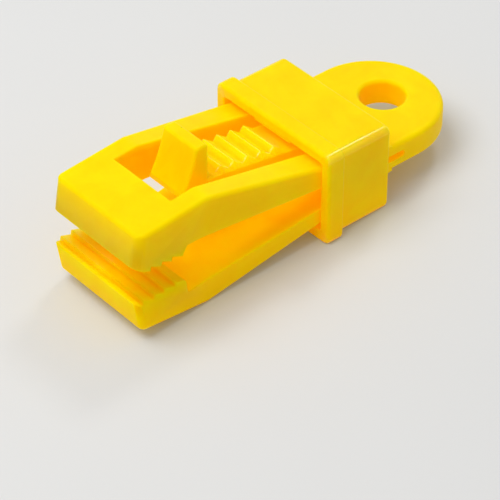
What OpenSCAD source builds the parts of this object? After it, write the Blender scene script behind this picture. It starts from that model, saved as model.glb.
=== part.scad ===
// Plastic tarp clip: two wedge-shaped arms on one eye, a sliding collar that squeezes them shut,
// and a toothed tongue with a thumb tab that the collar's catch slips along.
// Origin: centre of the eye's bore. +X runs from the jaws to the eye, +Z is the bore's axis.
// Lengths are in millimetres. "Reach" means distance from the bore's centre towards the jaws.

/* [Tail and eye] */

// Diameter of the hole for the cord or hook
eye_bore = 10; // [6:0.5:14]
// Rounding of the hole's two rims
eye_rim = 0.8; // [0.3:0.1:1.4]
// Width of the tail and of the arms inside the collar
tail_w = 30; // [26:0.5:34]
// Thickness of the tail
tail_t = 6.2; // [5.4:0.1:8]
// How far the hole's centre lies beyond the centre of the round end
eye_offset = 2.8; // [0:0.1:4]
// Rounding of the tail's long edges and round end
tail_edge = 1.1; // [0.4:0.1:1.6]
// Height of the slit that parts the two arms
slit_h = 1.6; // [1:0.1:2.4]
// Reach of the slit's round end
slit_reach = 7.3; // [6.6:0.1:8.5]
// Reach where the tail's flat faces turn into the arms' slopes
flat_reach = 10.9; // [10:0.1:12]

/* [Arms] */

// Reach of the bending line at each arm's root
root_reach = 15.9; // [15:0.1:17]
// Radius of the curved joint face at each arm's root
root_radius = 2.5; // [2.2:0.1:3]
// Reach of the bend where the arm is highest
peak_reach = 59.5; // [57:0.5:61]
// Height of that bend above the middle plane
peak_h = 13.36; // [12:0.1:15]
// Rounding of that bend
peak_round = 5; // [1:0.5:8]
// Reach of the nose's top edge
nose_reach = 76.65; // [75:0.5:80]
// Height of the nose's top edge
nose_h = 11.78; // [10.5:0.1:13]
// How far the nose's foot stands in front of its top edge
nose_lean = 1.2; // [0:0.1:2]
// Rounding of the nose's top edge
nose_round = 1.1; // [0.4:0.1:2]
// Rounding of the nose's two upright corners
nose_corner = 2.2; // [0.4:0.1:3]
// Width of the arms at the bend
peak_w = 27; // [25:0.5:29]
// Width of the arms at the nose
nose_w = 27.2; // [25:0.2:29]
// Reach where the arms start to narrow
narrow_reach = 31.5; // [30:0.5:40]
// Reach where the slit's walls start to part
part_reach = 11.9; // [11:0.1:12.5]

/* [Jaws] */

// Reach of the jaw pad's back end
pad_reach = 64.8; // [63.5:0.1:66]
// Height of the upper arm's inner face at the pad's back end
pad_seat_h = 4.3; // [4:0.05:4.6]
// Depth of the lower arm's inner face below the middle plane at the pad's back end
low_seat_h = 7.9; // [7:0.1:8.2]
// Height of both pads' seats at the nose
seat_h = 7; // [6.6:0.1:8]
// Height of the mouth's front edge above the middle plane
mouth_h = 4.45; // [4.2:0.05:5]
// Number of teeth on each jaw
jaw_teeth = 4; // [3:1:4]
// Distance from one jaw tooth to the next
jaw_pitch = 2.7; // [2.3:0.1:2.8]
// Reach of the upper jaw's front tip
jaw_tip_reach = 74.2; // [73.5:0.1:74.6]
// Depth of the jaw teeth
jaw_depth = 1.05; // [0.7:0.05:1.1]
// Lean of a tooth's steep face
jaw_lean = 0.2; // [0.1:0.05:0.3]
// How far the upper tips pass the middle plane when shut
jaw_bite = 0.95; // [0.5:0.05:1]
// How far the lower steep faces stand behind the upper ones
jaw_shift = 0.8; // [0.6:0.05:1.2]
// Height left between the two meshed rows of teeth when shut
shut_gap = 0.14; // [0.12:0.01:0.3]

/* [Ratchet tongue] */

// Width of the opening in the upper arm
window_w = 17.6; // [16:0.2:20]
// Reach of the opening's front edge
window_reach = 65; // [64:0.1:66]
// Width of the tongue
tongue_w = 11; // [9:0.2:13]
// Reach of the tongue's bending line
tongue_root = 23.9; // [22.5:0.1:26]
// Radius of the curved joint face at the tongue's root
tongue_radius = 2.6; // [2.4:0.1:3]
// Height of the tongue's bending line
tongue_root_h = 4.25; // [4:0.05:4.5]
// Thickness of the tongue at its root
tongue_t = 1.9; // [1.4:0.1:2.2]
// Distance from one ratchet tooth to the next
ratchet_pitch = 3.55; // [3.2:0.05:3.6]
// Reach of the first tooth's crest
crest_reach = 34.3; // [34:0.1:35]
// Height of the first crest
crest_h = 8.4; // [7.9:0.05:8.45]
// Rise of the crests from one tooth to the next
crest_rise = 0.56; // [0.4:0.02:0.58]
// Depth of the ratchet teeth
ratchet_depth = 1.5; // [1:0.1:1.7]
// Run of a tooth's steep face
steep_run = 0.95; // [0.4:0.05:1.3]
// Flat left on a tooth's crest
crest_flat = 0.25; // [0.1:0.05:0.4]

/* [Thumb tab] */

// Width of the thumb tab
tab_w = 10.6; // [8:0.2:12]
// Reach of the tab's upright back face
tab_reach = 52.3; // [52.1:0.1:53]
// Height of the tab's top
tab_top_h = 18.4; // [16:0.1:19]
// Length of the tab's top
tab_top_t = 3.1; // [2.4:0.1:3.4]
// How far the tab's foot runs out in front of its back face
tab_foot = 6.8; // [6:0.1:7.4]
// Height of the tab's under face
tab_under_h = 7.4; // [6.8:0.1:7.8]
// Height where the tab's front face meets its foot
tab_toe_h = 8.6; // [8.2:0.1:9.2]
// Hollow of the tab's curved front face
tab_hollow = 0.5; // [0:0.05:0.9]
// Rounding of the tab's top edges
tab_round = 0.8; // [0.3:0.1:1.1]

/* [Collar] */

// Reach of the collar's front face when the clip is open
collar_reach = 31.17; // [31:0.05:31.6]
// Length of the collar
collar_len = 17.75; // [16:0.25:18.5]
// Length of the flange at its front
flange_len = 4.3; // [3:0.1:6]
// How far the flange stands proud of the sleeve
flange_lip = 0.9; // [0.4:0.1:1.5]
// Side clearance between the arms and the collar
side_gap = 0.3; // [0.25:0.05:0.5]
// Height of the collar's opening
opening_h = 17.3; // [17.2:0.05:18.5]
// Thickness of the collar's side walls
side_wall = 1.6; // [1.2:0.1:2.4]
// Thickness of the collar's top and bottom walls
top_wall = 1.7; // [1.3:0.05:2.6]
// Corner rounding of the collar, seen along its length
collar_corner = 1.5; // [0.8:0.1:1.6]
// Rounding of the collar's end edges
collar_edge = 0.8; // [0.3:0.1:1]
// Corner rounding of the opening
opening_corner = 0.8; // [0.3:0.1:1.2]
// Width of the catch under the top wall
catch_w = 10.8; // [9:0.2:12]
// Length of the catch
catch_len = 0.9; // [0.6:0.1:1]
// How far the catch hangs below the top wall
catch_drop = 0.4; // [0.3:0.05:0.42]

/* [Hidden] */

$fn = 96;
// Play of a curved joint face
joint_gap = 0.12;
// Overrun of every cut
cut = 2;
// Points along a rounding
arc_steps = 6;

half_t = tail_t / 2;
half_w = tail_w / 2;
out_slope = (peak_h - half_t) / (peak_reach - flat_reach);
in_slope = (pad_seat_h - slit_h / 2) / (pad_reach - part_reach);
root_h = (out_h(root_reach) + in_h(root_reach)) / 2;
nose_foot = nose_reach + nose_lean;
nose_rake = nose_lean / (nose_h - mouth_h);
seat_reach = nose_reach + nose_rake * (nose_h - seat_h);
// Slope, seen from the bending line, of the faces that lie in the middle plane when shut
shut_slope = 0.0625;
// Reach of the lower jaw's front groove, a pitch less the shift in front of the upper front tip
low_groove_reach = jaw_tip_reach + jaw_pitch - jaw_shift;
// Depth of the lower tips below the middle plane when shut
low_drop = jaw_depth * jaw_shift / jaw_pitch + shut_gap - (jaw_depth - jaw_bite);
// As many ratchet teeth as fit between the first crest and the thumb tab
ratchet_teeth = floor((tab_reach - crest_reach) / ratchet_pitch);
tongue_top_h = tongue_root_h + tongue_t / 2;
tongue_low_h = tongue_root_h - tongue_t / 2;
crest_line = crest_rise / ratchet_pitch;
last_crest = crest_reach + (ratchet_teeth - 1) * ratchet_pitch;
opening_w = tail_w + 2 * side_gap;
sleeve_w = opening_w + 2 * side_wall;
sleeve_h = opening_h + 2 * top_wall;
flange_w = sleeve_w + 2 * flange_lip;
flange_h = sleeve_h + 2 * flange_lip;
collar_back = collar_reach - collar_len;
tab_front = tab_reach + tab_foot;

// Height of the arm's outer face at a reach behind the bend
function out_h(reach) = half_t + out_slope * (reach - flat_reach);
// Height of the arm's inner face at a reach
function in_h(reach) = slit_h / 2 + in_slope * (reach - part_reach);
// Height above the middle plane, at a reach, that closes to nothing when shut
function level(reach) = shut_slope * (reach - root_reach);
// Height of the line through the ratchet crests at a reach
function crest_z(reach) = crest_h + crest_line * (reach - crest_reach);
// Height of the tongue's under face at a reach
function under_h(reach) = tongue_low_h
    + (tab_under_h - tongue_low_h) * (reach - tongue_root) / (tab_front - tongue_root);

function unit(v) = v / norm(v);

// Arc of radius r that rounds the corner q between its neighbours p and s
function corner(p, q, s, r) =
    let (a = unit(p - q), b = unit(s - q), half = acos(a * b) / 2)
    let (c = q + unit(a + b) * r / sin(half))
    let (u = q + a * r / tan(half) - c, v = q + b * r / tan(half) - c)
    let (g = atan2(u[1], u[0]), turn = atan2(u[0] * v[1] - u[1] * v[0], u * v))
    [for (i = [0 : arc_steps]) c + r * [cos(g + turn * i / arc_steps), sin(g + turn * i / arc_steps)]];

// Outline whose corners are rounded by the radii in r, zero for a sharp one
function rounded(pts, r) =
    let (n = len(pts))
    [for (i = [0 : n - 1])
        each r[i] > 0 ? corner(pts[(i + n - 1) % n], pts[i], pts[(i + 1) % n], r[i]) : [pts[i]]];

// Profile in the X-Z plane, extruded across the clip
module across(pts, w) {
    rotate([90, 0, 0])
        linear_extrude(height = w, center = true)
            polygon(pts);
}

// Outline in the X-Y plane, extruded upwards both ways
module upright(pts, h) {
    linear_extrude(height = h, center = true)
        polygon(pts);
}

// Outline in the Y-Z plane, extruded along X from x0 for a length
module along(pts, x0, length) {
    translate([x0, 0, 0])
        rotate([90, 0, 90])
            linear_extrude(height = length)
                polygon(pts);
}

// Round bar across the clip at a reach and height
module bar(reach, h, r, w) {
    translate([-reach, 0, h])
        rotate([90, 0, 0])
            cylinder(r = r, h = w, center = true);
}

function box_outline(a, b) = [[-a / 2, -b / 2], [a / 2, -b / 2], [a / 2, b / 2], [-a / 2, b / 2]];

// Tail: a disc with soft edges, a straight shank and the two prongs that carry the arms
module tail_blank() {
    e = [tail_edge, tail_edge, tail_edge, tail_edge];
    translate([-eye_offset, 0, 0])
        rotate([0, 0, -90])
            rotate_extrude(angle = 180)
                intersection() {
                    polygon(rounded(box_outline(tail_w, tail_t), e));
                    translate([0, -tail_t])
                        square([tail_w, 2 * tail_t]);
                }
    along(rounded(box_outline(tail_w, tail_t), e), -flat_reach, flat_reach - eye_offset);
    across([
        [-flat_reach, -half_t],
        [-flat_reach, half_t],
        [-root_reach, out_h(root_reach)],
        [-root_reach, -out_h(root_reach)]
    ], tail_w);
}

module eye_tail() {
    color("gold")
        difference() {
            tail_blank();
            cylinder(d = eye_bore, h = tail_t + 2 * cut, center = true);
            for (side = [0, 1])
                mirror([0, 0, side])
                    translate([0, 0, half_t - eye_rim])
                        rim_cut();
            bar(slit_reach + slit_h / 2, 0, slit_h / 2, tail_w + 2 * cut);
            across([
                [-slit_reach - slit_h / 2, -slit_h / 2],
                [-slit_reach - slit_h / 2, slit_h / 2],
                [-part_reach, slit_h / 2],
                [-root_reach - cut, in_h(root_reach + cut)],
                [-root_reach - cut, -in_h(root_reach + cut)],
                [-part_reach, -slit_h / 2]
            ], tail_w + 2 * cut);
            for (side = [0, 1])
                mirror([0, 0, side])
                    bar(root_reach, root_h, root_radius + joint_gap, tail_w + 2 * cut);
        }
}

// What is taken off to round one rim of the bore
module rim_cut() {
    rotate_extrude()
        difference() {
            square([eye_bore / 2 + eye_rim, eye_rim + cut]);
            translate([eye_bore / 2 + eye_rim, 0])
                circle(r = eye_rim);
        }
}

// Side profile of an arm without its jaw pad, the inner face given by its points
function arm_profile(back, inner) = rounded(concat([
    [-back, in_h(back)],
    [-back, out_h(back)],
    [-peak_reach, peak_h],
    [-nose_reach, nose_h],
    [-seat_reach, seat_h]
], inner), concat([0, 0, peak_round, nose_round, 0], [for (p = inner) 0]));

// Plan of an arm: full width in the collar, narrow at the bend, a little wider at the nose
function arm_plan() = rounded([
    [cut, -half_w],
    [cut, half_w],
    [-narrow_reach, half_w],
    [-peak_reach, peak_w / 2],
    [-nose_foot, nose_w / 2],
    [-nose_foot, -nose_w / 2],
    [-peak_reach, -peak_w / 2],
    [-narrow_reach, -half_w]
], [0, 0, 0, 0, nose_corner, nose_corner, 0, 0]);

// Arm with the curved end that turns in the prong's hollow
module arm_blank(inner) {
    intersection() {
        across(arm_profile(root_reach - root_radius - cut, inner), tail_w + 2 * cut);
        upright(arm_plan(), 2 * (peak_h + cut));
        union() {
            bar(root_reach, root_h, root_radius, 2 * tail_w);
            translate([-nose_foot - cut, -tail_w, -cut])
                cube([nose_foot + cut - root_reach, 2 * tail_w, peak_h + 2 * cut]);
        }
    }
}

module upper_arm() {
    color("khaki")
        difference() {
            arm_blank([[-pad_reach, pad_seat_h]]);
            translate([-window_reach, -window_w / 2, 0])
                cube([window_reach - tongue_root, window_w, peak_h + cut]);
            bar(tongue_root, tongue_root_h, tongue_radius + joint_gap, tongue_w + 2 * side_gap);
        }
}

module lower_arm() {
    color("goldenrod")
        mirror([0, 0, 1])
            arm_blank([[-pad_reach, low_seat_h], [-root_reach, in_h(root_reach)]]);
}

// Upper teeth from back to front: the steep faces look back, so that a sheet can't slip out
function upper_teeth() = [
    for (i = [jaw_teeth - 1 : -1 : 0])
        let (r = jaw_tip_reach - i * jaw_pitch)
        each [
            [-r, level(r) - jaw_bite],
            if (i > 0)
                let (n = r + jaw_pitch)
                [-n + jaw_lean, level(n) + jaw_depth - jaw_bite]
        ]
];

// Lower teeth from back to front: the steep faces look to the front and lie in the upper grooves
function lower_teeth() = [
    for (i = [jaw_teeth : -1 : 0])
        let (r = low_groove_reach - i * jaw_pitch)
        each [
            if (i < jaw_teeth)
                [-r + jaw_lean, level(r) + low_drop],
            [-r, level(r) + low_drop + jaw_depth]
        ]
];

// Jaw pad between its seat in the arm, whose back end has the height h, and its teeth
module jaw_pad(h, teeth) {
    intersection() {
        across(concat([[-pad_reach, h]], teeth, [[-nose_foot, mouth_h], [-seat_reach, seat_h]]),
            nose_w + 2 * cut);
        upright(arm_plan(), 2 * peak_h);
    }
}

module upper_jaw() {
    color("orange")
        jaw_pad(pad_seat_h, upper_teeth());
}

module lower_jaw() {
    color("darkorange")
        mirror([0, 0, 1])
            jaw_pad(low_seat_h, lower_teeth());
}

// Ratchet profile: gentle flanks face the eye, steep faces look towards the jaws
function ratchet_points() = [
    for (i = [0 : ratchet_teeth - 1])
        let (r = crest_reach + i * ratchet_pitch)
        each [
            [-r + crest_flat / 2, crest_z(r)],
            [-r - crest_flat / 2, crest_z(r)],
            [-r - crest_flat / 2 - steep_run, crest_z(r + steep_run) - ratchet_depth]
        ]
];

module tongue_profile() {
    foot = crest_reach - ratchet_pitch + crest_flat / 2 + steep_run;
    across(concat(
        [
            [-tongue_root, tongue_low_h],
            [-tongue_root, tongue_top_h],
            [-foot, crest_z(foot) - ratchet_depth]
        ],
        ratchet_points(),
        [
            [-tab_reach, crest_z(last_crest + ratchet_pitch) - ratchet_depth],
            [-tab_reach, under_h(tab_reach)]
        ]
    ), tongue_w);
}

module ratchet_tongue() {
    color("yellow") {
        tongue_profile();
        intersection() {
            bar(tongue_root, tongue_root_h, tongue_radius, tongue_w);
            across([
                [-tongue_root, tongue_low_h],
                [-tongue_root, tongue_top_h],
                [-tongue_root + tongue_radius + cut, tongue_top_h],
                [-tongue_root + tongue_radius + cut, tongue_low_h]
            ], tongue_w);
        }
    }
}

// Curve of the tab's front face between its top and its toe
function hollow(i) =
    let (t = i / arc_steps)
    let (a = [-tab_reach - tab_top_t, tab_top_h - tab_round], b = [-tab_front, tab_toe_h])
    a + (b - a) * t + 4 * t * (1 - t) * tab_hollow * [1, 0];

module thumb_tab() {
    color("lemonchiffon")
        across(concat(
            [[-tab_reach, under_h(tab_reach)]],
            corner(
                [-tab_reach, tab_under_h],
                [-tab_reach, tab_top_h],
                [-tab_reach - tab_top_t, tab_top_h],
                tab_round
            ),
            corner(
                [-tab_reach, tab_top_h],
                [-tab_reach - tab_top_t, tab_top_h],
                hollow(1),
                tab_round
            ),
            [for (i = [1 : arc_steps]) hollow(i)],
            [[-tab_front, tab_under_h]]
        ), tab_w);
}

// Ring of the collar: rounded along its edges, seen from the end, the side and above
module ring(front, length, w, h) {
    c = [collar_corner, collar_corner, collar_corner, collar_corner];
    e = [collar_edge, collar_edge, collar_edge, collar_edge];
    difference() {
        intersection() {
            along(rounded(box_outline(w, h), c), -front, length);
            translate([-front + length / 2, 0, 0])
                across(rounded(box_outline(length, h), e), w + 2 * cut);
            translate([-front + length / 2, 0, 0])
                upright(rounded(box_outline(length, w), e), h + 2 * cut);
        }
        collar_opening();
    }
}

module collar_opening() {
    o = [opening_corner, opening_corner, opening_corner, opening_corner];
    along(rounded(box_outline(opening_w, opening_h), o), -collar_reach - cut, collar_len + 2 * cut);
}

// Sleeve: rounded at its back end only, where the flange doesn't cover it
module collar_sleeve() {
    color("yellow")
        difference() {
            ring(collar_reach, collar_len, sleeve_w, sleeve_h);
            translate([-collar_reach - cut, -flange_w / 2, -flange_h / 2])
                cube([cut + flange_len, flange_w, flange_h]);
        }
}

module collar_flange() {
    color("gold")
        ring(collar_reach, flange_len, flange_w, flange_h);
}

// Catch: a rib under the top wall, sloped in front and upright behind
module collar_catch() {
    top = opening_h / 2;
    color("orangered")
        across([
            [-collar_reach, top],
            [-collar_reach + catch_len, top],
            [-collar_reach + catch_len, top - catch_drop],
            [-collar_reach + catch_len - catch_len / 2, top - catch_drop],
            [-collar_reach, top - catch_drop / 2]
        ], catch_w);
}

eye_tail();
upper_arm();
upper_jaw();
lower_arm();
lower_jaw();
ratchet_tongue();
thumb_tab();
collar_sleeve();
collar_flange();
collar_catch();
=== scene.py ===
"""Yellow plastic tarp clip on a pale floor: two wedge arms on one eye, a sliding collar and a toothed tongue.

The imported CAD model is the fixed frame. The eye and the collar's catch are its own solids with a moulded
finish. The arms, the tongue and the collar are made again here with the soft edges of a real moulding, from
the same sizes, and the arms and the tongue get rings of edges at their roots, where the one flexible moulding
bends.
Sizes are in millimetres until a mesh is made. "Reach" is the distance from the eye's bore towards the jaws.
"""

import logging
import math
from dataclasses import dataclass, replace
from enum import Enum
from typing import Any, Callable

import bmesh
import bpy
from mathutils import Matrix, Vector


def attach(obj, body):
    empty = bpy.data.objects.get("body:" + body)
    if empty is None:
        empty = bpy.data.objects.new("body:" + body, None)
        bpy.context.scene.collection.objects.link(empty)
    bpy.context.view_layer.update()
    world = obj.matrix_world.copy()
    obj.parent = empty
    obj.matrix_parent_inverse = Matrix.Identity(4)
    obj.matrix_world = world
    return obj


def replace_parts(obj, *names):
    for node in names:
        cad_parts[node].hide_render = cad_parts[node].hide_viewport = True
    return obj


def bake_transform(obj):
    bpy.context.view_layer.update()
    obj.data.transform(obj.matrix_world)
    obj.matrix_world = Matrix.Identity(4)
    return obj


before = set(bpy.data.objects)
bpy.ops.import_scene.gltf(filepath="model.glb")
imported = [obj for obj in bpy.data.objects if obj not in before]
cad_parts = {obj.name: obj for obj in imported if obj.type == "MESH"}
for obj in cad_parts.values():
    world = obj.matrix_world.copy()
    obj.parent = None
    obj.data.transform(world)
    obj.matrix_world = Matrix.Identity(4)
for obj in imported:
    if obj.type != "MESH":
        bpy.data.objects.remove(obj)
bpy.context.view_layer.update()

MM = 0.001
WELD_MM = 0.002
# How close a place must lie to a face or a reach to count as on it
ON_MM = 0.1
FLAT_DEG = 0.4
SHARP_DEG = 9.0
BEVEL_STEPS = 4
# How straight an edge must run along an axis to count as along it
ALONG = 0.9
# Noise textures seldom leave this range
NOISE_LOW, NOISE_HIGH = 0.3, 0.7
TO_JAWS = Vector((-1, 0, 0))
TO_NEAR_SIDE = Vector((0, -1, 0))

Point = tuple[float, float]
EdgeRule = Callable[[Vector, Vector], float]
log = logging.getLogger("tarp_clip")


class Side(Enum):
    """The half of the clip that an arm belongs to: its sign turns a height above the middle plane."""

    UPPER = 1
    LOWER = -1


class Slot(Enum):
    """The record's material slots."""

    BODY = "body_plastic"
    COLLAR = "collar_plastic"


class Operation(Enum):
    """What a second piece does to a first: it cuts it, or becomes one skin with it."""

    CUT = "DIFFERENCE"
    JOIN = "UNION"


def linear(hex_colour: str) -> tuple[float, float, float, float]:
    """Turns an sRGB hex colour to linear light.

    Args:
        hex_colour: Six hex digits after a hash.

    Returns:
        Red, green, blue and an alpha of one.
    """
    parts = [int(hex_colour[i : i + 2], 16) / 255 for i in (1, 3, 5)]
    red, green, blue = (c / 12.92 if c <= 0.04045 else ((c + 0.055) / 1.055) ** 2.4 for c in parts)
    return red, green, blue, 1.0


def add_node(
    tree: bpy.types.NodeTree,
    kind: str,
    settings: dict[str, Any] | None = None,
    values: dict[str | int, Any] | None = None,
    links: dict[str | int, bpy.types.NodeSocket] | None = None,
) -> bpy.types.Node:
    """Adds one node to a material or world.

    Args:
        tree: The node tree that gets it.
        kind: The node's Blender type.
        settings: Properties of the node itself.
        values: Numbers or colours for its input sockets, by name or index.
        links: Output sockets that feed its input sockets, by name or index.

    Returns:
        The new node.
    """
    node = tree.nodes.new(kind)
    for name, value in (settings or {}).items():
        setattr(node, name, value)
    for key, value in (values or {}).items():
        node.inputs[key].default_value = value
    for key, socket in (links or {}).items():
        tree.links.new(socket, node.inputs[key])
    return node


def per_metre(pattern_mm: float) -> float:
    """Texture scale, in repeats a metre, of a pattern whose real spacing is given in millimetres."""
    return 1 / (pattern_mm * MM)


@dataclass(frozen=True)
class MouldedPlastic:
    """Polypropylene, injection moulded: satin, slightly translucent, so that thin edges and deep gaps glow.

    The light that enters comes out again a few millimetres on, red furthest, which turns shade to orange.
    The deep gaps' glow is partly painted light: an orange emission that camera rays see where ambient
    occlusion finds a gap, and a weak, even yellow emission that all other rays see, which warms shadows.
    """

    name: str
    face_hex: str
    deep_hex: str
    speck_hex: str
    gloss_low: float
    gloss_high: float
    glow: float
    shine: float = 0.07
    shine_hex: str = "#FFDC5A"
    glow_mm: float = 6.0
    painted_glow: float = 0.4
    painted_gap_glow_hex: str = "#FF6C00"
    painted_gap_glow_mm: float = 19.0
    shut_share: float = 0.05
    open_share: float = 0.9
    painted_bounce_glow: float = 0.1
    painted_bounce_glow_hex: str = "#FFDF40"
    flow_mm: float = 11.0
    grain_mm: float = 0.45
    grain_deep_mm: float = 0.006
    ripple_mm: float = 5.0
    ripple_deep_mm: float = 0.02
    swirl_from: float = 0.35
    speck_gap_mm: float = 6.5
    speck_mm: float = 0.24
    speck_depth: float = 0.75
    clean_share: float = 0.62
    ior: float = 1.49
    travel: tuple[float, float, float] = (1.0, 0.42, 0.02)

    def build(self) -> bpy.types.Material:
        """Makes the material.

        Returns:
            The finished node material.
        """
        material = bpy.data.materials.new(self.name)
        material.use_nodes = True
        tree = material.node_tree
        tree.nodes.clear()
        place = add_node(tree, "ShaderNodeTexCoord").outputs["Object"]
        colour = self._colour(tree, place)
        # Real grain is a few hundredths of a millimetre: drawn ten times as coarse so that it shows
        grain = add_node(tree, "ShaderNodeTexNoise",
                         values={"Scale": per_metre(self.grain_mm), "Detail": 3.0}, links={"Vector": place})
        ripple = add_node(tree, "ShaderNodeTexNoise",
                          values={"Scale": per_metre(self.ripple_mm), "Detail": 1.0}, links={"Vector": place})
        gloss = add_node(tree, "ShaderNodeMapRange",
                         values={"From Min": NOISE_LOW, "From Max": NOISE_HIGH, "To Min": self.gloss_low,
                                 "To Max": self.gloss_high},
                         links={"Value": ripple.outputs["Fac"]})
        sink = add_node(tree, "ShaderNodeBump",
                        values={"Distance": self.ripple_deep_mm * MM, "Strength": 1.0},
                        links={"Height": ripple.outputs["Fac"]})
        skin = add_node(tree, "ShaderNodeBump", values={"Distance": self.grain_deep_mm * MM, "Strength": 1.0},
                        links={"Height": grain.outputs["Fac"], "Normal": sink.outputs["Normal"]})
        # Painted gap glow: an orange emission, strongest where ambient occlusion finds the place shut in,
        # stands in for light that has crossed the walls many times, since the renderer stops after a few
        open_sky = add_node(tree, "ShaderNodeAmbientOcclusion", settings={"samples": 8},
                            values={"Distance": self.painted_gap_glow_mm * MM})
        shut_in = add_node(tree, "ShaderNodeMapRange",
                           values={"From Min": self.shut_share, "From Max": self.open_share,
                                   "To Min": self.painted_glow, "To Max": 0.0},
                           links={"Value": open_sky.outputs["AO"]})
        # Camera rays see the painted orange gap glow; all other rays see a painted, weak, even yellow glow,
        # which lights the floor's shadow and the gaps warm
        seen = add_node(tree, "ShaderNodeLightPath").outputs["Is Camera Ray"]
        painted_glow = add_node(tree, "ShaderNodeMix", settings={"data_type": "FLOAT"}, values={2: self.painted_bounce_glow},
                        links={0: seen, 3: shut_in.outputs["Result"]})
        painted_glow_hue = add_node(tree, "ShaderNodeMix", settings={"data_type": "RGBA"},
                       values={6: linear(self.painted_bounce_glow_hex), 7: linear(self.painted_gap_glow_hex)}, links={0: seen})
        shader = add_node(
            tree, "ShaderNodeBsdfPrincipled",
            settings={"subsurface_method": "RANDOM_WALK"},
            values={"IOR": self.ior, "Metallic": 0.0, "Subsurface Weight": self.glow,
                    "Specular IOR Level": self.shine, "Specular Tint": linear(self.shine_hex),
                    "Subsurface Radius": self.travel, "Subsurface Scale": self.glow_mm * MM},
            links={"Base Color": colour, "Roughness": gloss.outputs["Result"],
                   "Normal": skin.outputs["Normal"], "Emission Color": painted_glow_hue.outputs[2],
                   "Emission Strength": painted_glow.outputs[0]},
        )
        add_node(tree, "ShaderNodeOutputMaterial", links={"Surface": shader.outputs["BSDF"]})
        return material

    def _colour(self, tree: bpy.types.NodeTree, place: bpy.types.NodeSocket) -> bpy.types.NodeSocket:
        """Colour of the moulding: pale swirls where the melt flowed, and a few dark specks.

        Args:
            tree: The material's node tree.
            place: Object coordinates.

        Returns:
            The colour's output socket.
        """
        flow = add_node(tree, "ShaderNodeTexNoise",
                        values={"Scale": per_metre(self.flow_mm), "Detail": 4.0, "Roughness": 0.55,
                                "Distortion": 0.8},
                        links={"Vector": place})
        swirl = add_node(tree, "ShaderNodeMapRange",
                         values={"From Min": self.swirl_from, "From Max": NOISE_HIGH},
                         links={"Value": flow.outputs["Fac"]})
        body = add_node(tree, "ShaderNodeMix", settings={"data_type": "RGBA"},
                        values={6: linear(self.face_hex), 7: linear(self.deep_hex)},
                        links={0: swirl.outputs["Result"]})
        cells = add_node(tree, "ShaderNodeTexVoronoi", values={"Scale": per_metre(self.speck_gap_mm)},
                         links={"Vector": place})
        dot = add_node(tree, "ShaderNodeMapRange",
                       values={"From Min": 0.0, "From Max": self.speck_mm / self.speck_gap_mm,
                               "To Min": self.speck_depth, "To Max": 0.0},
                       links={"Value": cells.outputs["Distance"]})
        chance = add_node(tree, "ShaderNodeSeparateColor", links={"Color": cells.outputs["Color"]})
        few = add_node(tree, "ShaderNodeMath", settings={"operation": "GREATER_THAN"},
                       values={1: self.clean_share}, links={0: chance.outputs["Red"]})
        speck = add_node(tree, "ShaderNodeMath", settings={"operation": "MULTIPLY"},
                         links={0: dot.outputs["Result"], 1: few.outputs["Value"]})
        final = add_node(tree, "ShaderNodeMix", settings={"data_type": "RGBA"},
                         values={7: linear(self.speck_hex)},
                         links={0: speck.outputs["Value"], 6: body.outputs[2]})
        return final.outputs[2]


@dataclass(frozen=True)
class Finish:
    """Materials of one moulding: its grained faces, and its rounded edges, which come out smoother."""

    faces: bpy.types.Material
    edges: bpy.types.Material

    def give(self, piece: bpy.types.Object) -> None:
        """Puts both materials on a piece, the faces' one first.

        Args:
            piece: The piece, which loses its own materials.
        """
        piece.data.materials.clear()
        piece.data.materials.append(self.faces)
        piece.data.materials.append(self.edges)


@dataclass(frozen=True)
class MattBoard:
    """Coated paper board, rolled matt: the pale sweep that the clip lies on."""

    name: str
    paper_hex: str
    shade_hex: str
    pulp_mm: float = 60.0
    tooth_mm: float = 0.8
    tooth_deep_mm: float = 0.01
    rough: float = 0.8
    ior: float = 1.45
    shine: float = 0.2

    def build(self) -> bpy.types.Material:
        """Makes the material.

        Returns:
            The finished node material.
        """
        material = bpy.data.materials.new(self.name)
        material.use_nodes = True
        tree = material.node_tree
        tree.nodes.clear()
        place = add_node(tree, "ShaderNodeTexCoord").outputs["Object"]
        pulp = add_node(tree, "ShaderNodeTexNoise", values={"Scale": per_metre(self.pulp_mm), "Detail": 2.0},
                        links={"Vector": place})
        paper = add_node(tree, "ShaderNodeMix", settings={"data_type": "RGBA"},
                         values={6: linear(self.paper_hex), 7: linear(self.shade_hex)},
                         links={0: pulp.outputs["Fac"]})
        tooth = add_node(tree, "ShaderNodeTexNoise",
                         values={"Scale": per_metre(self.tooth_mm), "Detail": 2.0}, links={"Vector": place})
        bump = add_node(tree, "ShaderNodeBump", values={"Distance": self.tooth_deep_mm * MM},
                        links={"Height": tooth.outputs["Fac"]})
        shader = add_node(tree, "ShaderNodeBsdfPrincipled",
                          values={"Roughness": self.rough, "IOR": self.ior, "Specular IOR Level": self.shine},
                          links={"Base Color": paper.outputs[2], "Normal": bump.outputs["Normal"]})
        add_node(tree, "ShaderNodeOutputMaterial", links={"Surface": shader.outputs["BSDF"]})
        return material


def mesh_object(name: str, bm: bmesh.types.BMesh) -> bpy.types.Object:
    """Puts a finished bmesh into a new object of the scene.

    Args:
        name: The object's name.
        bm: The mesh, in metres. It is freed.

    Returns:
        The object, linked to the scene.
    """
    mesh = bpy.data.meshes.new(name)
    bmesh.ops.recalc_face_normals(bm, faces=bm.faces)
    bm.to_mesh(mesh)
    bm.free()
    piece = bpy.data.objects.new(name, mesh)
    bpy.context.scene.collection.objects.link(piece)
    return piece


def settle(piece: bpy.types.Object) -> None:
    """Replaces a piece's mesh by what its modifiers make of it, and drops the modifiers.

    Args:
        piece: The piece.
    """
    graph = bpy.context.evaluated_depsgraph_get()
    mesh = bpy.data.meshes.new_from_object(piece.evaluated_get(graph))
    old = piece.data
    piece.modifiers.clear()
    piece.data = mesh
    mesh.name = piece.name
    bpy.data.meshes.remove(old)


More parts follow.
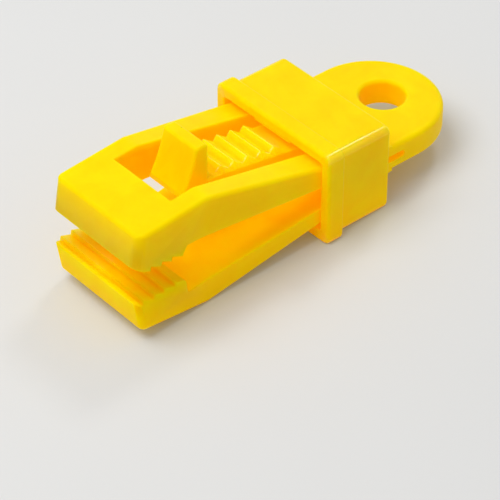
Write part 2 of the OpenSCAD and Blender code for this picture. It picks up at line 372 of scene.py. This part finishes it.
def combine(piece: bpy.types.Object, tool: bpy.types.Object, operation: Operation) -> None:
    """Cuts a piece by another or joins the two into one skin, and removes the other.

    Args:
        piece: The piece that stays.
        tool: The piece that is used up.
        operation: Whether the other cuts the piece or joins it.
    """
    modifier = piece.modifiers.new("combine", "BOOLEAN")
    modifier.operation = operation.value
    modifier.solver = "EXACT"
    modifier.object = tool
    settle(piece)
    bpy.data.objects.remove(tool)


def soften(piece: bpy.types.Object, rule: EdgeRule, widest_mm: float, bright_edges: bool = False) -> None:
    """Rounds a piece's outward edges, each by its own width, and shades it smooth.

    Args:
        piece: The piece, with flat faces and sharp edges.
        rule: Gives an edge's rounding in millimetres from its middle and its direction, both in millimetres.
        widest_mm: The widest rounding that the rule can give.
        bright_edges: Whether the roundings get the edges' material.
    """
    bm = bmesh.new()
    bm.from_mesh(piece.data)
    bmesh.ops.remove_doubles(bm, verts=bm.verts, dist=WELD_MM * MM)
    bmesh.ops.dissolve_limit(bm, angle_limit=math.radians(FLAT_DEG), verts=bm.verts, edges=bm.edges)
    weight = bm.edges.layers.float.new("bevel_weight_edge")
    for edge in bm.edges:
        if edge.calc_face_angle(0.0) > math.radians(SHARP_DEG) and edge.is_convex:
            a, b = (v.co / MM for v in edge.verts)
            edge[weight] = min(1.0, rule((a + b) / 2, (b - a).normalized()) / widest_mm)
    bm.to_mesh(piece.data)
    bm.free()
    bevel = piece.modifiers.new("soft edges", "BEVEL")
    bevel.limit_method = "WEIGHT"
    bevel.width = widest_mm * MM
    bevel.segments = BEVEL_STEPS
    bevel.use_clamp_overlap = False
    bevel.material = int(bright_edges)
    settle(piece)
    piece.data.shade_smooth()
    piece.modifiers.new("even shading", "WEIGHTED_NORMAL").keep_sharp = True


def extruded(name: str, outline: list[Point], half_width: float) -> bpy.types.Object:
    """Solid that fills a side outline across the clip.

    Args:
        name: The object's name.
        outline: Points of reach and height, in order round the outline.
        half_width: Half of the solid's width.

    Returns:
        The new object.
    """
    bm = bmesh.new()
    face = bm.faces.new([bm.verts.new((-r * MM, -half_width * MM, z * MM)) for r, z in outline])
    extent = bmesh.ops.extrude_face_region(bm, geom=[face])
    for v in extent["geom"]:
        if isinstance(v, bmesh.types.BMVert):
            v.co.y = half_width * MM
    return mesh_object(name, bm)


def divide(piece: bpy.types.Object, distances: list[float], along: Vector = TO_JAWS) -> None:
    """Adds rings of edges to a piece, so that it can taper, fade or bend there.

    Args:
        piece: The piece.
        distances: Where the rings go, from the frame's origin.
        along: Direction of the distances.
    """
    bm = bmesh.new()
    bm.from_mesh(piece.data)
    for distance in distances:
        geometry = bm.verts[:] + bm.edges[:] + bm.faces[:]
        bmesh.ops.bisect_plane(bm, geom=geometry, plane_co=along * distance * MM, plane_no=along)
    bm.to_mesh(piece.data)
    bm.free()


def finish_piece(piece: bpy.types.Object) -> None:
    """Reports a piece's number of faces."""
    log.info("%s: %d faces", piece.name, len(piece.data.polygons))


@dataclass
class ArmMoulding:
    """One wedge arm with its jaw teeth: a bent bar that tapers in plan, joined to the tail by its root."""

    side: Side
    tail_t: float = 6.2
    flat_reach: float = 10.9
    root_reach: float = 15.9
    root_radius: float = 2.6
    peak_reach: float = 59.5
    peak_h: float = 13.36
    nose_reach: float = 76.65
    nose_h: float = 11.78
    nose_lean: float = 1.2
    half_w: float = 15.0
    narrow_reach: float = 31.5
    peak_half_w: float = 13.5
    nose_half_w: float = 13.6
    slit_h: float = 1.6
    part_reach: float = 11.9
    pad_reach: float = 64.8
    pad_seat_h: float = 4.3
    low_seat_h: float = 7.9
    mouth_h: float = 4.45
    jaw_teeth: int = 4
    jaw_pitch: float = 2.7
    jaw_tip_reach: float = 74.2
    jaw_depth: float = 1.05
    jaw_lean: float = 0.2
    jaw_bite: float = 0.95
    jaw_shift: float = 0.8
    shut_gap: float = 0.14
    shut_slope: float = 0.0625
    window_back: float = 23.9
    window_front: float = 65.0
    window_half_w: float = 8.8
    outer_soft: float = 1.0
    nose_soft: float = 0.8
    corner_soft: float = 2.2
    low_corner_soft: float = 1.5
    bend_soft: float = 0.75
    window_soft: float = 0.35
    inner_soft: float = 0.3
    tooth_soft: float = 0.12
    outer_band: float = 2.2
    bare_root: float = 1.0
    overrun: float = 5.0
    bend_half: float = 1.5
    ring_gap: float = 0.8
    rings: int = 6
    rings_behind: int = 2
    arc_deg: int = 6
    join: float = 0.05

    @property
    def body(self) -> str:
        """The CAD body that carries the arm."""
        return self.side.name.lower()

    @property
    def pad_corner(self) -> float:
        """Reach of the lower pad's back corner, behind its last tooth."""
        return self.jaw_tip_reach - self.jaw_shift - (self.jaw_teeth - 1) * self.jaw_pitch

    def outer(self, reach: float) -> float:
        """Height of the outer face behind the bend."""
        slope = (self.peak_h - self.tail_t / 2) / (self.peak_reach - self.flat_reach)
        return self.tail_t / 2 + slope * (reach - self.flat_reach)

    def inner(self, reach: float) -> float:
        """Height of the upper arm's inner face behind the jaw teeth."""
        slope = (self.pad_seat_h - self.slit_h / 2) / (self.pad_reach - self.part_reach)
        return self.slit_h / 2 + slope * (reach - self.part_reach)

    def level(self, reach: float) -> float:
        """Height above the middle plane that closes to nothing when the clip is shut."""
        return self.shut_slope * (reach - self.root_reach)

    def teeth(self) -> list[Point]:
        """Jaw teeth from front to back: the upper steep faces look back, the lower ones to the front.

        Returns:
            Points of reach and height, two for each steep face and one for the last.
        """
        points = []
        if self.side is Side.UPPER:
            for i in range(self.jaw_teeth):
                reach = self.jaw_tip_reach - i * self.jaw_pitch
                tip = self.level(reach) - self.jaw_bite
                points += [(reach, tip), (reach - self.jaw_lean, tip + self.jaw_depth)]
            return points[:-1]
        past_tip = self.jaw_depth - self.jaw_bite
        drop = self.jaw_depth * self.jaw_shift / self.jaw_pitch + self.shut_gap - past_tip
        for i in range(self.jaw_teeth + 1):
            reach = self.jaw_tip_reach + self.jaw_pitch - self.jaw_shift - i * self.jaw_pitch
            tip = self.level(reach) + drop
            points += [(reach, tip + self.jaw_depth), (reach - self.jaw_lean, tip)]
        return points[:-1]

    def half_width(self, reach: float) -> float:
        """Half of the arm's width, which narrows to the bend and widens a little to the nose.

        Args:
            reach: Distance from the eye's bore.

        Returns:
            The half width there.
        """
        if reach <= self.narrow_reach:
            return self.half_w
        if reach <= self.peak_reach:
            share = (reach - self.narrow_reach) / (self.peak_reach - self.narrow_reach)
            return self.half_w + share * (self.peak_half_w - self.half_w)
        share = (reach - self.peak_reach) / (self.nose_reach + self.nose_lean - self.peak_reach)
        return self.peak_half_w + share * (self.nose_half_w - self.peak_half_w)

    def root(self) -> list[Point]:
        """Round end of the root, from its outer edge to its inner one, as it sits in the tail's hollow.

        Returns:
            Points of reach and height.
        """
        centre_h = (self.outer(self.root_reach) + self.inner(self.root_reach)) / 2
        angles = [math.radians(a) for a in range(90, -91, -self.arc_deg)]
        arc = [(self.root_reach - self.root_radius * math.cos(a), centre_h + self.root_radius * math.sin(a))
               for a in angles]
        return [(r, z) for r, z in arc if self.inner(r) < z < self.outer(r)]

    def outline(self) -> list[Point]:
        """Side outline of the arm, from the root over the bend and the nose to the jaw teeth and back.

        Returns:
            Points of reach and height.
        """
        points = self.root()[::-1]
        first, last = points[-1][0], points[0][0]
        points.append((first + self.join, self.outer(first + self.join)))
        points += [(self.peak_reach, self.peak_h), (self.nose_reach, self.nose_h),
                   (self.nose_reach + self.nose_lean, self.mouth_h)]
        points += self.teeth()
        if self.side is Side.UPPER:
            points.append((self.pad_reach, self.pad_seat_h))
        else:
            points += [(self.pad_reach, self.low_seat_h), (self.root_reach, self.inner(self.root_reach))]
        points.append((last + self.join, self.inner(last + self.join)))
        return points

    def edge(self, middle: Vector, along: Vector) -> float:
        """Rounding of the edge at a place, by the sides that meet there.

        Args:
            middle: The edge's middle.
            along: Its direction.

        Returns:
            The rounding's width, which is zero where the edge stays sharp.
        """
        reach, across, height = -middle.x, abs(middle.y), middle.z * self.side.value
        high, in_front = height > self.low_seat_h + ON_MM, reach > self.nose_reach - ON_MM
        if reach < self.root_reach + self.bare_root:
            return 0.0
        if abs(along.y) > ALONG:
            if high and abs(reach - self.peak_reach) < ON_MM:
                return self.bend_soft
            if in_front:
                return self.nose_soft if high else 0.0
            ends = (self.window_front, self.window_back, self.pad_corner)
            return self.window_soft if min(abs(reach - end) for end in ends) < ON_MM else self.tooth_soft
        if across < self.half_width(reach) - ON_MM:
            return self.window_soft
        if in_front and abs(along.z) > ALONG:
            return self.corner_soft if self.side is Side.UPPER else self.low_corner_soft
        outer = height > self.outer(min(reach, self.peak_reach)) - self.outer_band
        if outer and height > self.inner(reach) + self.outer_soft:
            return self.outer_soft
        return 0.0 if reach > self.pad_reach else self.inner_soft

    def build(self, finish: Finish) -> bpy.types.Object:
        """Makes the arm and dresses it.

        Args:
            finish: The moulding's finish.

        Returns:
            The finished piece.
        """
        piece = extruded(f"{self.body}_arm_moulding", self.outline(), self.half_w)
        divide(piece, [self.narrow_reach, self.peak_reach])
        for v in piece.data.vertices:
            v.co.y = math.copysign(self.half_width(-v.co.x / MM) * MM, v.co.y)
        if self.side is Side.UPPER:
            back, front, top = self.window_back, self.window_front, self.peak_h + self.overrun
            box = [(back, top), (front, top), (front, 0), (back, 0)]
            combine(piece, extruded("window", box, self.window_half_w), Operation.CUT)
        else:
            piece.data.transform(Matrix.Scale(-1, 4, (0, 0, 1)))
            piece.data.flip_normals()
        finish.give(piece)
        soften(piece, self.edge, max(self.corner_soft, self.low_corner_soft))
        rings = range(-self.rings_behind, self.rings - self.rings_behind)
        divide(piece, [self.root_reach + self.ring_gap * i for i in rings])
        piece.data.shade_smooth()
        finish_piece(piece)
        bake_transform(piece)
        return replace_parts(piece, f"{self.body}_arm", f"{self.body}_jaw")


@dataclass
class TongueMoulding:
    """Sprung tongue: five ratchet teeth behind a hollow-fronted thumb tab, on a thin bending root."""

    buried_reach: float = 21.6
    root_reach: float = 23.9
    root_h: float = 4.25
    root_t: float = 1.9
    half_w: float = 5.5
    teeth: int = 5
    pitch: float = 3.55
    crest_reach: float = 34.3
    crest_h: float = 8.4
    crest_rise: float = 0.56
    depth: float = 1.5
    steep_run: float = 1.08
    tab_half_w: float = 5.3
    tab_reach: float = 52.3
    tab_top_h: float = 18.4
    tab_top_t: float = 3.1
    tab_foot: float = 6.8
    tab_under_h: float = 7.4
    tab_toe_h: float = 8.6
    tab_hollow: float = 0.5
    tab_soft: float = 0.6
    crest_soft: float = 0.13
    side_soft: float = 0.25
    foot_soft: float = 0.1
    fade: float = 1.3
    tab_overlap: float = 0.6
    tab_margin: float = 0.3
    bare_root: float = 1.0
    hollow_steps: int = 8
    bend_start: float = 0.2
    bend_end: float = 4.2
    ring_gap: float = 0.6
    rings: int = 9

    def crest(self, reach: float) -> float:
        """Height of the line through the crests."""
        return self.crest_h + self.crest_rise / self.pitch * (reach - self.crest_reach)

    def under(self, reach: float) -> float:
        """Height of the tongue's under face, which rises from the root to the tab's toe.

        Args:
            reach: Distance from the eye's bore.

        Returns:
            The height there.
        """
        low = self.root_h - self.root_t / 2
        front = self.tab_reach + self.tab_foot
        return low + (self.tab_under_h - low) * (reach - self.root_reach) / (front - self.root_reach)

    def bar(self) -> list[Point]:
        """Side outline of the toothed bar, from its root to inside the tab.

        Returns:
            Points of reach and height.
        """
        low, top = self.root_h - self.root_t / 2, self.root_h + self.root_t / 2
        valley = self.crest_reach - self.pitch + self.steep_run
        points = [(self.buried_reach, low), (self.buried_reach, top), (self.root_reach, top),
                  (valley, self.crest(valley) - self.depth)]
        for i in range(self.teeth):
            reach = self.crest_reach + i * self.pitch
            points += [(reach, self.crest(reach)),
                       (reach + self.steep_run, self.crest(reach + self.steep_run) - self.depth)]
        inside = self.tab_reach + self.tab_overlap
        end = self.crest_reach + self.teeth * self.pitch
        points += [(inside, self.crest(end) - self.depth), (inside, self.under(inside)),
                   (self.root_reach, low)]
        return points

    def tab(self) -> list[Point]:
        """Side outline of the thumb tab, with its hollow front face.

        Returns:
            Points of reach and height.
        """
        top = (self.tab_reach + self.tab_top_t, self.tab_top_h)
        toe = (self.tab_reach + self.tab_foot, self.tab_toe_h)
        points = [(self.tab_reach, self.under(self.tab_reach)), (self.tab_reach, self.tab_top_h)]
        for i in range(self.hollow_steps + 1):
            t = i / self.hollow_steps
            sag = 4 * t * (1 - t) * self.tab_hollow
            points.append((top[0] + (toe[0] - top[0]) * t - sag, top[1] + (toe[1] - top[1]) * t))
        return points + [(toe[0], self.tab_under_h)]

    def edge(self, middle: Vector, along: Vector) -> float:
        """Rounding of the edge at a place: soft on the tab, tight on the teeth.

        Args:
            middle: The edge's middle.
            along: Its direction.

        Returns:
            The rounding's width, which is zero where the edge stays sharp.
        """
        reach, height = -middle.x, middle.z
        if reach > self.tab_reach - ON_MM and height > self.tab_toe_h + self.tab_hollow:
            return self.tab_soft
        if abs(along.y) > ALONG:
            return self.crest_soft
        if reach > self.tab_reach - self.pitch / 2:
            return self.foot_soft
        return self.side_soft if reach > self.root_reach + self.bare_root else 0.0

    def build(self, finish: Finish) -> bpy.types.Object:
        """Makes the tongue and dresses it.

        Args:
            finish: The moulding's finish.

        Returns:
            The finished piece.
        """
        piece = extruded("ratchet_tongue_moulding", self.bar(), self.half_w)
        # The teeth die away at the near side, where the photograph shows no steps
        divide(piece, [self.half_w - self.fade], TO_NEAR_SIDE)
        for v in piece.data.vertices:
            reach, at_side = -v.co.x / MM, v.co.y < (ON_MM - self.half_w) * MM
            if at_side and reach > self.crest_reach - ON_MM:
                v.co.z = min(v.co.z, (self.crest(reach) - self.depth) * MM)
        combine(piece, extruded("tab", self.tab(), self.tab_half_w), Operation.JOIN)
        finish.give(piece)
        soften(piece, self.edge, self.tab_soft, bright_edges=True)
        for face in piece.data.polygons:
            faded = face.center.y < (self.fade - self.half_w - ON_MM / 2) * MM
            if faded or -face.center.x > (self.tab_reach - self.tab_margin) * MM:
                face.material_index = 0
        divide(piece, [self.root_reach + self.ring_gap * i for i in range(self.rings)])
        piece.data.shade_smooth()
        finish_piece(piece)
        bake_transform(piece)
        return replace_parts(piece, "ratchet_tongue", "thumb_tab")


@dataclass
class CollarMoulding:
    """Rectangular sliding collar with a low flange round its front end."""

    front: float = 31.17
    length: float = 17.75
    flange_len: float = 4.3
    opening_w: float = 30.6
    opening_h: float = 17.3
    opening_corner: float = 0.8
    side_wall: float = 1.6
    top_wall: float = 1.7
    lip: float = 0.9
    corner: float = 1.5
    end_soft: float = 0.8
    rim_soft: float = 0.35
    step_soft: float = 0.25
    flange_soft: float = 0.55
    bright_out: float = 1.0
    steps: int = 6

    def ring(self, out: float, corner: float) -> list[tuple[float, float]]:
        """Rounded rectangle round the opening.

        Args:
            out: How far outside the opening, where one means the full wall, and more adds millimetres.
            corner: Its corner radius.

        Returns:
            Points of Y and Z, the same number whatever the sizes.
        """
        wall, extra = min(out, 1.0), max(out - 1.0, 0.0)
        half_y = self.opening_w / 2 + wall * self.side_wall + extra
        half_z = self.opening_h / 2 + wall * self.top_wall + extra
        points = []
        for quarter, (sy, sz) in enumerate(((1, 1), (-1, 1), (-1, -1), (1, -1))):
            for i in range(self.steps + 1):
                a = math.radians(90 * (quarter + i / self.steps))
                points.append((sy * (half_y - corner) + corner * math.cos(a),
                               sz * (half_z - corner) + corner * math.sin(a)))
        return points

    def rounding(self, corner: Point, before: Point, after: Point, radius: float) -> list[Point]:
        """Quarter round at a right-angled corner of the wall's section.

        Args:
            corner: The sharp corner, as reach and distance out from the opening.
            before: Unit step from the corner back along the section.
            after: Unit step from the corner onwards.
            radius: Radius of the rounding.

        Returns:
            Points along it.
        """
        points = []
        for i in range(self.steps + 1):
            a = math.radians(90 * i / self.steps)
            back, on = radius * (1 - math.sin(a)), radius * (1 - math.cos(a))
            points.append((corner[0] + before[0] * back + after[0] * on,
                           corner[1] + before[1] * back + after[1] * on))
        return points

    def section(self) -> list[Point]:
        """Section through a wall of the collar, at its walls' mean thickness.

        Returns:
            Points of reach and distance out from the opening.
        """
        back, step, front = self.front - self.length, self.front - self.flange_len, self.front
        wall = (self.side_wall + self.top_wall) / 2
        outside = wall + self.lip
        on, off, out, down = (1, 0), (-1, 0), (0, 1), (0, -1)
        return [
            *self.rounding((back, 0.0), on, out, self.rim_soft),
            *self.rounding((back, wall), down, on, self.end_soft),
            *self.rounding((step, wall), off, out, self.step_soft),
            *self.rounding((step, outside), down, on, self.flange_soft),
            *self.rounding((front, outside), off, down, self.end_soft),
            *self.rounding((front, 0.0), out, off, self.rim_soft),
        ]

    def build(self, finish: Finish) -> bpy.types.Object:
        """Makes the collar and dresses it.

        Args:
            finish: The collar's finish.

        Returns:
            The finished piece.
        """
        wall = (self.side_wall + self.top_wall) / 2
        bm = bmesh.new()
        rings = []
        for reach, out in self.section():
            share = out / wall if out <= wall else 1.0 + (out - wall)
            corner = self.opening_corner + (self.corner - self.opening_corner) * min(share, 1.0)
            ring = self.ring(share, corner)
            rings.append([bm.verts.new((-reach * MM, y * MM, z * MM)) for y, z in ring])
        for one, two in zip(rings, rings[1:] + rings[:1]):
            outside = one[0].co.y > (self.opening_w / 2 + self.bright_out) * MM
            for i, v in enumerate(one):
                j = (i + 1) % len(one)
                face = bm.faces.new((v, one[j], two[j], two[i]))
                face.material_index = int(outside and j % (self.steps + 1) > 0)
        piece = mesh_object("collar_moulding", bm)
        marks = [face.material_index for face in piece.data.polygons]
        finish.give(piece)
        piece.data.polygons.foreach_set("material_index", marks)
        piece.data.shade_smooth()
        piece.modifiers.new("even shading", "WEIGHTED_NORMAL").keep_sharp = True
        finish_piece(piece)
        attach(piece, "collar")
        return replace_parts(piece, "collar_sleeve", "collar_flange")


@dataclass
class CarriedSolids:
    """CAD solids that are right as they are: the eye with its tail, and the collar's catch."""

    body_nodes: tuple[str, ...] = ("eye_tail",)
    collar_nodes: tuple[str, ...] = ("collar_catch",)

    def dress(self, body: Finish, collar: Finish) -> None:
        """Gives each solid its finish and even shading.

        Args:
            body: Finish of the body moulding.
            collar: Finish of the collar.
        """
        carried = ((self.body_nodes, body, Slot.BODY), (self.collar_nodes, collar, Slot.COLLAR))
        for names, finish, slot in carried:
            for name in names:
                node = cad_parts[name]
                finish.give(node)
                weld = node.modifiers.new("weld", "WELD")
                weld.merge_threshold = WELD_MM * MM
                node.modifiers.new("even shading", "WEIGHTED_NORMAL").keep_sharp = True
                finish_piece(node)


@dataclass
class Studio:
    """Pale floor that the clip leans on, a wide lamp overhead, a small one behind, and an even sky."""

    flange_reach: float = 31.17
    flange_h: float = -11.25
    floor_slope: float = 0.0745
    floor_side: float = 1600.0
    sky_strength: float = 0.56
    backdrop_strength: float = 0.8
    key_from: tuple[float, float, float] = (-285.0, 105.0, 545.0)
    key_side: float = 420.0
    key_watts: float = 2.25
    back_from: tuple[float, float, float] = (300.0, 150.0, 500.0)
    back_side: float = 120.0
    back_watts: float = 0.5
    clip_middle: tuple[float, float, float] = (-30.0, 0.0, 0.0)

    def floor(self, finish: MattBoard) -> None:
        """Lays the floor under the flange's front edge and the lower arm's bend.

        Args:
            finish: The board's finish.
        """
        half = self.floor_side / 2
        bm = bmesh.new()
        corners = [(-half, -half), (half, -half), (half, half), (-half, half)]
        bm.faces.new([bm.verts.new(self.on_floor(x, y)) for x, y in corners])
        board = mesh_object("floor_board", bm)
        board.data.materials.append(finish.build())

    def on_floor(self, x: float, y: float) -> Vector:
        """Point of the floor, in metres, at a place in plan."""
        return Vector((x, y, self.flange_h + self.floor_slope * (x + self.flange_reach))) * MM

    def hang(self, name: str, place_mm: tuple[float, float, float], side_mm: float, watts: float) -> None:
        """Hangs a square lamp that faces the clip.

        Args:
            name: The lamp's name.
            place_mm: Its centre.
            side_mm: Length of its sides.
            watts: Its power.
        """
        lamp = bpy.data.lights.new(name, "AREA")
        lamp.shape = "SQUARE"
        lamp.size = side_mm * MM
        lamp.energy = watts
        holder = bpy.data.objects.new(name, lamp)
        place = Vector(place_mm) * MM
        holder.location = place
        holder.rotation_mode = "QUATERNION"
        holder.rotation_quaternion = (Vector(self.clip_middle) * MM - place).to_track_quat("-Z", "Y")
        bpy.context.scene.collection.objects.link(holder)

    def lights(self) -> None:
        """Hangs the two lamps and sets the light all round."""
        self.hang("overhead_softbox", self.key_from, self.key_side, self.key_watts)
        self.hang("small_back_softbox", self.back_from, self.back_side, self.back_watts)
        world = bpy.data.worlds.new("pale_studio")
        bpy.context.scene.world = world
        world.use_nodes = True
        tree = world.node_tree
        tree.nodes.clear()
        white = linear("#FFFFFF")
        ray = add_node(tree, "ShaderNodeLightPath").outputs
        seen = add_node(tree, "ShaderNodeMath", settings={"operation": "MAXIMUM"},
                        links={0: ray["Is Camera Ray"], 1: ray["Is Glossy Ray"]})
        seen = add_node(tree, "ShaderNodeMath", settings={"operation": "MAXIMUM"},
                        links={0: seen.outputs["Value"], 1: ray["Is Transmission Ray"]})
        lit = add_node(tree, "ShaderNodeBackground",
                       values={"Color": white, "Strength": self.sky_strength})
        shown = add_node(tree, "ShaderNodeBackground",
                         values={"Color": white, "Strength": self.backdrop_strength})
        mix = add_node(tree, "ShaderNodeMixShader",
                       links={0: seen.outputs["Value"], 1: lit.outputs["Background"],
                              2: shown.outputs["Background"]})
        add_node(tree, "ShaderNodeOutputWorld", links={"Surface": mix.outputs["Shader"]})


@dataclass
class PhotoCamera:
    """The photograph's viewpoint, found by fitting the clip's corners. Its picture is square."""

    azimuth: float = -42.08
    elevation: float = 36.83
    roll: float = 0.93
    yaw: float = -1.16
    pitch: float = -2.28
    distance: float = 550.0
    focal_px: float = 2629.84
    target: tuple[float, float, float] = (-21.87, 0.0, 0.0)
    picture_px: int = 500
    sensor_mm: float = 36.0
    sees_m: tuple[float, float] = (0.05, 10.0)

    @staticmethod
    def turned(one: Vector, two: Vector, degrees: float) -> tuple[Vector, Vector]:
        """Turns two directions in the plane that they span, the first towards the second."""
        c, s = math.cos(math.radians(degrees)), math.sin(math.radians(degrees))
        return c * one + s * two, c * two - s * one

    def place(self) -> bpy.types.Object:
        """Makes the camera and gives it to the scene.

        Returns:
            The camera object.
        """
        az, el = math.radians(self.azimuth), math.radians(self.elevation)
        back = Vector((math.cos(el) * math.sin(az), -math.cos(el) * math.cos(az), math.sin(el)))
        ahead = -back
        right = ahead.cross(Vector((0, 0, 1))).normalized()
        up = right.cross(ahead)
        ahead, right = self.turned(ahead, right, self.yaw)
        ahead, up = self.turned(ahead, up, self.pitch)
        right, up = self.turned(right, up, self.roll)
        data = bpy.data.cameras.new("photo_camera")
        data.sensor_width = self.sensor_mm
        data.lens = self.focal_px * self.sensor_mm / self.picture_px
        data.clip_start, data.clip_end = self.sees_m
        camera = bpy.data.objects.new("photo_camera", data)
        turn = Matrix((right, up, -ahead)).transposed().to_4x4()
        camera.matrix_world = Matrix.Translation((back * self.distance + Vector(self.target)) * MM) @ turn
        bpy.context.scene.collection.objects.link(camera)
        bpy.context.scene.camera = camera
        return camera


# Polypropylene from a fine-grained mould: satin faces, and a smoother, paler shine on its rounded edges
BODY_PLASTIC = MouldedPlastic("yellow_moulded_polypropylene_body", face_hex="#FFD802", deep_hex="#FECE00",
                              speck_hex="#9A6A10", gloss_low=0.36, gloss_high=0.46, glow=0.85)
BODY_EDGE = replace(BODY_PLASTIC, name="yellow_moulded_polypropylene_body_edge", gloss_low=0.2,
                    gloss_high=0.26, shine=0.5, shine_hex="#FFFFFF")
# The collar's mould is a little more polished, so its long corners catch a pale line
COLLAR_PLASTIC = MouldedPlastic("yellow_moulded_polypropylene_collar", face_hex="#FFD602", deep_hex="#FECC00",
                                speck_hex="#9A6A10", gloss_low=0.3, gloss_high=0.4, glow=0.85)
COLLAR_EDGE = replace(COLLAR_PLASTIC, name="yellow_moulded_polypropylene_collar_edge", gloss_low=0.09,
                      gloss_high=0.13, shine=0.25, shine_hex="#FFFFFF")
# Paper board: no shine, and a shadow with a soft edge
BOARD = MattBoard("matt_white_board", paper_hex="#D9D9D8", shade_hex="#D6D6D5")


def main() -> None:
    """Builds the studio and the clip, one sub-assembly after the other."""
    logging.basicConfig(level=logging.INFO, format="%(name)s: %(message)s")
    bpy.context.scene.view_settings.view_transform = "Standard"
    PhotoCamera().place()
    studio = Studio()
    studio.floor(BOARD)
    studio.lights()
    body = Finish(BODY_PLASTIC.build(), BODY_EDGE.build())
    collar = Finish(COLLAR_PLASTIC.build(), COLLAR_EDGE.build())
    CarriedSolids().dress(body, collar)
    for side in Side:
        ArmMoulding(side).build(body)
    TongueMoulding().build(body)
    CollarMoulding().build(collar)


if __name__ == "__main__":
    main()
